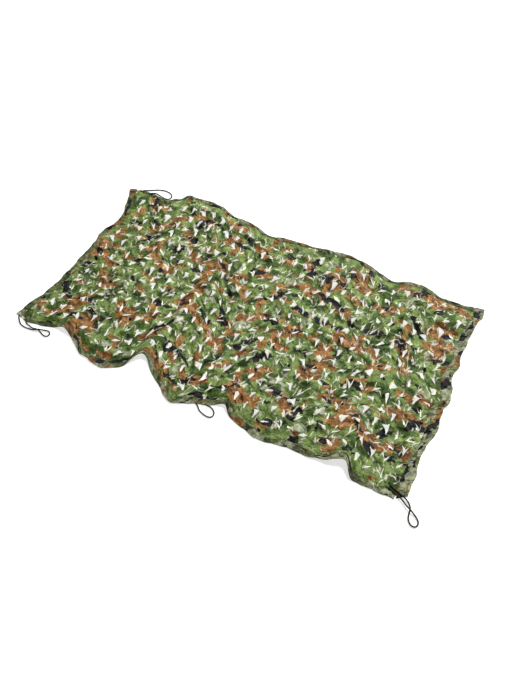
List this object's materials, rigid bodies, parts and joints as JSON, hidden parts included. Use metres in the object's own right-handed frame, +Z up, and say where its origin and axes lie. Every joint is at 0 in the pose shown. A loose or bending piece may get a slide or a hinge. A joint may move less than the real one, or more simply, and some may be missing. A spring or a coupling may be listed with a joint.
{
  "type": "camouflage net",
  "caption": "Leaf-cut camouflage net with a folded cloth binding and cord loops, laid out on the floor in soft folds.",
  "frame": {"origin": "middle of the net's box on the floor, the cord loops left out", "axes": "+X along the net's long side, +Y towards its back edge, +Z up"},
  "size_m": [1.9721, 1.178, 0.0412],
  "materials": {
    "printed_cloth": "thin coated polyester printed in leaf green, sage, brown and near black, leaf cut, with a paler reverse",
    "binding_cloth": "crumpled printed polyester strip, folded over the edge and stitched",
    "olive_cord": "matte braided cord, dark olive green"
  },
  "bodies": {
    "root": {"net_panel": "printed_cloth", "binding_front": "binding_cloth", "binding_back": "binding_cloth", "binding_left": "binding_cloth", "binding_right": "binding_cloth", "loop_back_left": "olive_cord", "loop_front_left": "olive_cord", "loop_front_right": "olive_cord", "loop_front_middle": "olive_cord"}
  },
  "joints": []
}
